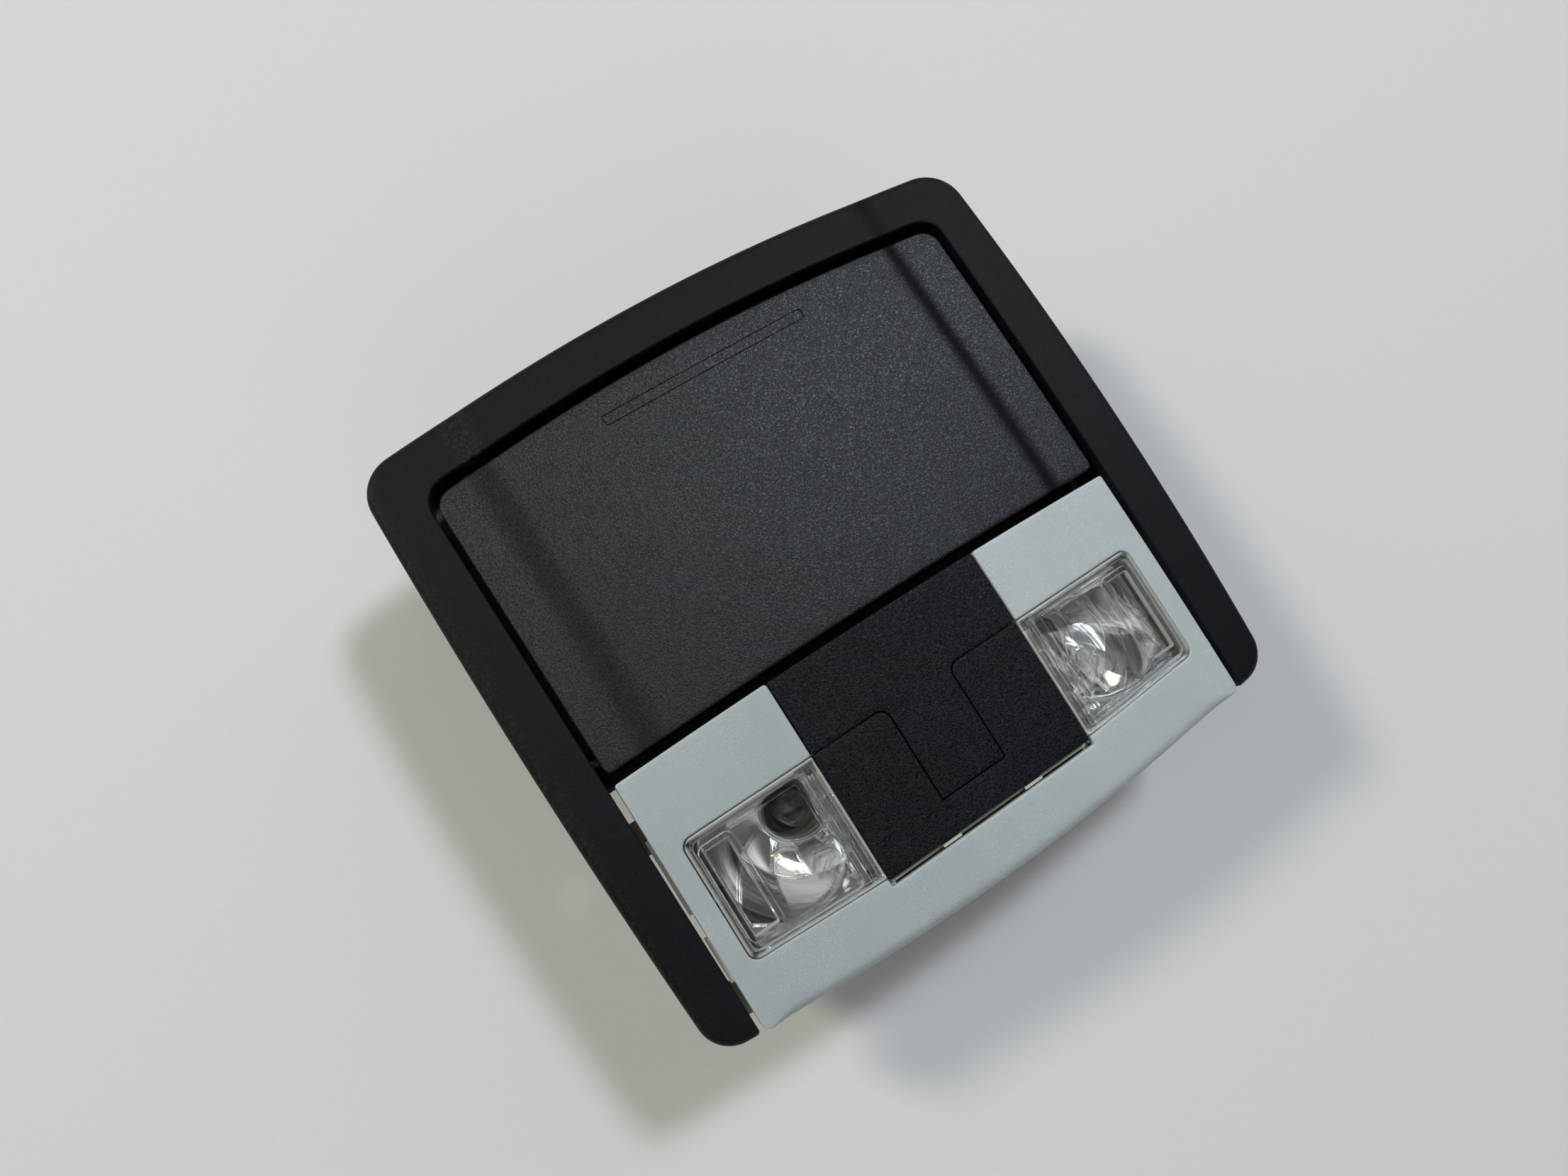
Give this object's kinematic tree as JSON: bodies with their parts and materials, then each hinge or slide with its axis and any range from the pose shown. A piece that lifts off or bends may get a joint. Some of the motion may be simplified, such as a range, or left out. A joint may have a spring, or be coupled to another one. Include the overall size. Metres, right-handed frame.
{
  "type": "car overhead console light",
  "caption": "Car roof console: grained black drop-down glasses bin, frosted dome lens, tilting clear map lenses over faceted reflectors and a rocker switch panel, in a domed rim",
  "frame": {"origin": "middle of the face's outline, on the roof plane that the rim's back rests on", "axes": "+Z out of the visible face, into the car; +Y towards the bin door's free edge; +X to the right with the bin at the top"},
  "size_m": [0.1972, 0.1892, 0.0678],
  "materials": {
    "frame_plastic": "fine grain, black",
    "door_plastic": "leather grain, black",
    "panel_plastic": "leather grain, black",
    "housing_plastic": "plain moulded, black",
    "white_plastic": "plain moulded, cream",
    "dark_plastic": "plain moulded, black",
    "frosted_lens": "frosted, milky",
    "clear_lens": "polished, clear",
    "bulb_glass": "clear",
    "reflector": "vacuum metallised",
    "steel": "plated",
    "brass": "plain",
    "board": "lacquered board",
    "felt": "felt"
  },
  "bodies": {
    "case": {"bezel_frame": "frame_plastic", "bin_housing": "housing_plastic", "bus_bars": "brass", "case_screws": "steel", "connector": "dark_plastic", "connector_pins": "brass", "dome_bulb_left": "bulb_glass", "dome_bulb_right": "bulb_glass", "dome_socket_left": "dark_plastic", "dome_socket_right": "dark_plastic", "dome_switches": "dark_plastic", "frosted_lens": "frosted_lens", "hinge_pins": "steel", "lamp_housing": "white_plastic", "latch_body": "dark_plastic", "latch_spring": "steel", "map_bulb_left": "bulb_glass", "map_bulb_right": "bulb_glass", "map_socket_left": "dark_plastic", "map_socket_right": "dark_plastic", "map_switch_left": "dark_plastic", "map_switch_right": "dark_plastic", "reflector_left": "reflector", "reflector_right": "reflector", "rocker_pin": "steel", "roof_clips": "steel", "switch_board": "board", "switch_panel": "panel_plastic"},
    "door": {"bin_door": "door_plastic", "bin_tray": "door_plastic", "bin_liner": "felt"},
    "latch": {"latch_plunger": "white_plastic"},
    "left_lens": {"map_lens_left": "clear_lens"},
    "right_lens": {"map_lens_right": "clear_lens"},
    "rocker": {"dome_rocker": "panel_plastic"},
    "left_plunger": {"map_plunger_left": "white_plastic"},
    "right_plunger": {"map_plunger_right": "white_plastic"}
  },
  "joints": [
    {"name": "bin_hinge", "type": "hinge", "parent": "case", "child": "door", "pos_m": [0, -0.0085, 0.0005], "axis": [1, 0, 0], "range_deg": [0, 55]},
    {"name": "latch_travel", "type": "slide", "parent": "case", "child": "latch", "axis": [0, 0, -1], "range_m": [0, 0.003], "stiffness_N_per_m": 300, "springref_m": -0.002, "deforming": ["latch_spring"]},
    {"name": "left_lens_push", "type": "hinge", "parent": "case", "child": "left_lens", "pos_m": [-0.0362, 0, 0.001], "axis": [0, -1, 0], "range_deg": [0, 2.2], "stiffness_Nm_per_rad": 0.8, "springref_deg": -1.15},
    {"name": "right_lens_push", "type": "hinge", "parent": "case", "child": "right_lens", "pos_m": [0.0362, 0, 0.001], "axis": [0, 1, 0], "range_deg": [0, 2.2], "stiffness_Nm_per_rad": 0.8, "springref_deg": -1.15},
    {"name": "rocker_tip", "type": "hinge", "parent": "case", "child": "rocker", "pos_m": [0, 0, -0.001], "axis": [0, 1, 0], "range_deg": [-1.5, 1.5], "stiffness_Nm_per_rad": 1},
    {"name": "left_switch_travel", "type": "slide", "parent": "case", "child": "left_plunger", "axis": [0, 0, -1], "range_m": [0, 0.0016]},
    {"name": "right_switch_travel", "type": "slide", "parent": "case", "child": "right_plunger", "axis": [0, 0, -1], "range_m": [0, 0.0016]}
  ],
  "couplings": [
    {"joint": "left_switch_travel", "follows": "left_lens_push", "m_per_rad": 0.0381},
    {"joint": "right_switch_travel", "follows": "right_lens_push", "m_per_rad": 0.0381}
  ]
}
